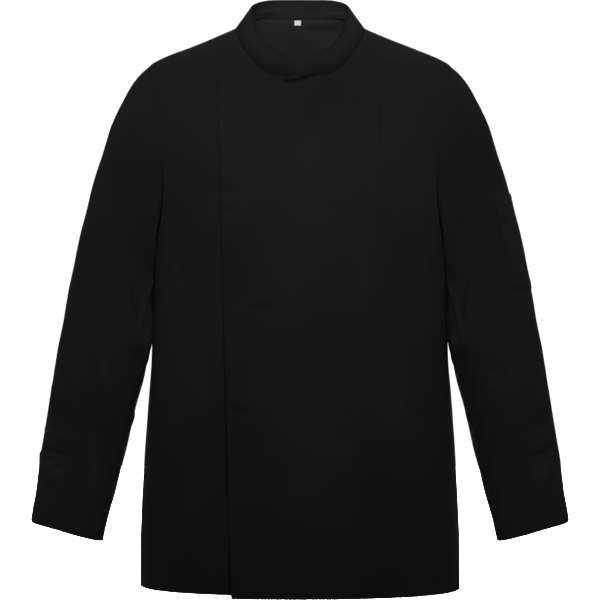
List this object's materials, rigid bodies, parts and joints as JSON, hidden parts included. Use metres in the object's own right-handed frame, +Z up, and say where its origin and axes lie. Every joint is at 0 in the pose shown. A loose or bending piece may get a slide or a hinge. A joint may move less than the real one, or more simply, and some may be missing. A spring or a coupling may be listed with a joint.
{
  "type": "chef jacket",
  "caption": "Black chef jacket in worn form, hollow, with a crossed concealed front, a stand collar with crossed ends, long plain sleeves and a pen pocket on the left sleeve.",
  "frame": {"origin": "middle of the neck opening, level with the neck ends of the shoulder seams", "axes": "+Z up the body, +X to the wearer's left, -Y to the front"},
  "size_m": [0.6962, 0.2878, 0.7746],
  "materials": {
    "cloth": "black polyester and cotton twill, matt",
    "label": "white woven satin tape, left bare"
  },
  "bodies": {
    "root": {"left_front": "cloth", "right_front": "cloth", "back": "cloth", "left_sleeve": "cloth", "right_sleeve": "cloth", "collar": "cloth", "sleeve_pocket": "cloth", "size_label": "label"}
  },
  "joints": []
}
